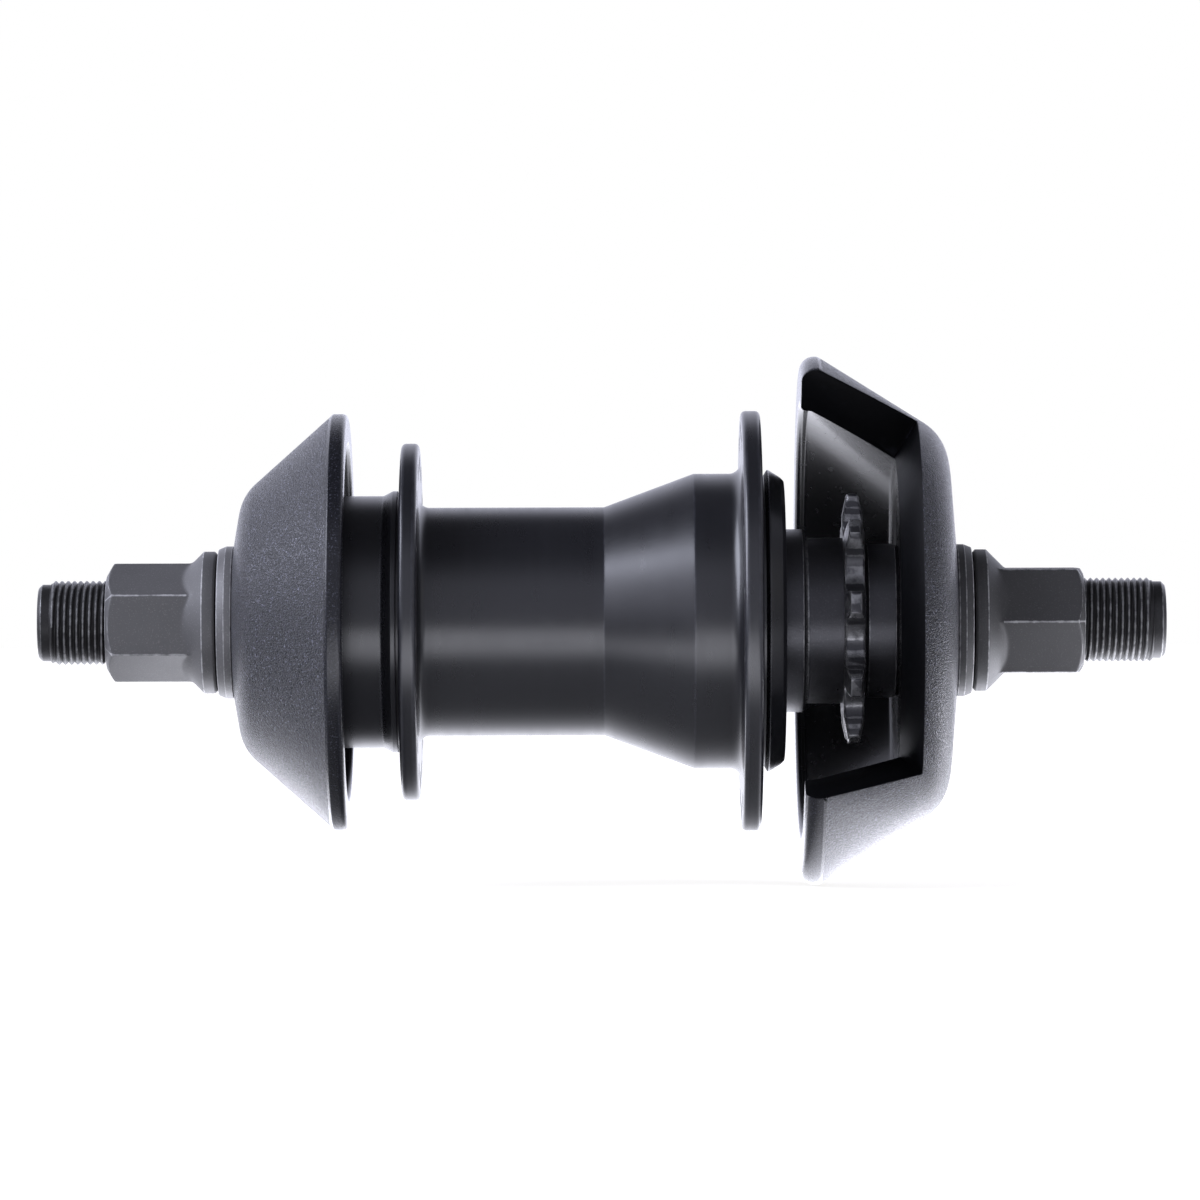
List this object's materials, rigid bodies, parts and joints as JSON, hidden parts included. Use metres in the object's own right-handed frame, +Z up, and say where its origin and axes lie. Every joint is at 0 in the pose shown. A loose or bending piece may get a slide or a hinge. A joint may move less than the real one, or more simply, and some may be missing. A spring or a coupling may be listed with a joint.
{
  "type": "freecoaster hub",
  "caption": "Rear hub for a small-wheel bike that coasts backwards: driver with sprocket, screw clutch, spoke flanges, bowl guards with a chain window, and threaded axle with nuts.",
  "frame": {"origin": "on the axle line, midway between the two outer guard faces that the frame closes on", "axes": "+X along the axle to the drive side, +Z up, the chain window opens to -Y"},
  "size_m": [0.185, 0.0779, 0.0868],
  "materials": {
    "anodised_shell": "satin black anodised, fine turning lines",
    "guard_plastic": "fine-grain moulded black plastic, glossy inside",
    "phosphated_steel": "black phosphated steel, worn bright at the edges",
    "black_oxide_steel": "turned steel with black oxide",
    "bearing_steel": "ground hardened steel",
    "bearing_cage": "moulded cage",
    "bearing_seal": "moulded rubber"
  },
  "bodies": {
    "axle_assembly": {"axle": "phosphated_steel", "nds_axle_nut": "phosphated_steel", "ds_axle_nut": "phosphated_steel", "nds_washer": "phosphated_steel", "ds_washer": "phosphated_steel", "nds_guard": "guard_plastic", "ds_guard": "guard_plastic", "nds_cone": "black_oxide_steel", "ds_cone": "black_oxide_steel", "nds_locknut": "black_oxide_steel", "ds_locknut": "black_oxide_steel", "friction_sleeve": "black_oxide_steel", "slack_washers": "bearing_steel", "nds_bearing_inner_race": "bearing_steel", "driver_bearing_inner_race": "bearing_steel"},
    "shell": {"hub_shell": "anodised_shell", "clutch_race": "bearing_steel", "nds_bearing_outer_race": "bearing_steel", "nds_bearing_seals": "bearing_seal", "shell_bearing_outer_race": "bearing_steel", "shell_bearing_seals": "bearing_seal"},
    "driver": {"driver": "black_oxide_steel", "shell_bearing_inner_race": "bearing_steel", "driver_bearing_outer_race": "bearing_steel", "driver_bearing_seals": "bearing_seal", "needle_cup": "bearing_steel"},
    "drag_spring": {"drag_spring": "bearing_steel"},
    "clutch": {"clutch": "black_oxide_steel"},
    "nds_ball_set": {"nds_bearing_balls": "bearing_steel", "nds_bearing_cage": "bearing_cage"},
    "shell_ball_set": {"shell_bearing_balls": "bearing_steel", "shell_bearing_cage": "bearing_cage"},
    "driver_ball_set": {"driver_bearing_balls": "bearing_steel", "driver_bearing_cage": "bearing_cage"},
    "needle_set": {"needle_rollers": "bearing_steel", "needle_cage": "bearing_cage"}
  },
  "joints": [
    {"name": "shell_spin", "type": "hinge", "parent": "axle_assembly", "child": "shell", "pos_m": [0, 0, 0], "axis": [1, 0, 0], "continuous": true},
    {"name": "driver_spin", "type": "hinge", "parent": "axle_assembly", "child": "driver", "pos_m": [0, 0, 0], "axis": [1, 0, 0], "continuous": true},
    {"name": "clutch_wind", "type": "hinge", "parent": "driver", "child": "drag_spring", "pos_m": [0, 0, 0], "axis": [1, 0, 0], "range_deg": [0, 54]},
    {"name": "clutch_travel", "type": "slide", "parent": "drag_spring", "child": "clutch", "axis": [1, 0, 0], "range_m": [0, 0.003]},
    {"name": "nds_balls_roll", "type": "hinge", "parent": "axle_assembly", "child": "nds_ball_set", "pos_m": [-0.04, 0, 0], "axis": [1, 0, 0], "continuous": true},
    {"name": "shell_balls_roll", "type": "hinge", "parent": "axle_assembly", "child": "shell_ball_set", "pos_m": [0.0263, 0, 0], "axis": [1, 0, 0], "continuous": true},
    {"name": "driver_balls_roll", "type": "hinge", "parent": "axle_assembly", "child": "driver_ball_set", "pos_m": [0.0411, 0, 0], "axis": [1, 0, 0], "continuous": true},
    {"name": "needles_roll", "type": "hinge", "parent": "axle_assembly", "child": "needle_set", "pos_m": [0.0096, 0, 0], "axis": [1, 0, 0], "continuous": true}
  ],
  "couplings": [
    {"joint": "clutch_travel", "follows": "clutch_wind", "m_per_rad": 0.0031831},
    {"joint": "nds_balls_roll", "follows": "shell_spin", "ratio": 0.6013},
    {"joint": "shell_balls_roll", "follows": "shell_spin", "ratio": 0.5442},
    {"joint": "driver_balls_roll", "follows": "driver_spin", "ratio": 0.5667},
    {"joint": "needles_roll", "follows": "driver_spin", "ratio": 0.5571}
  ]
}
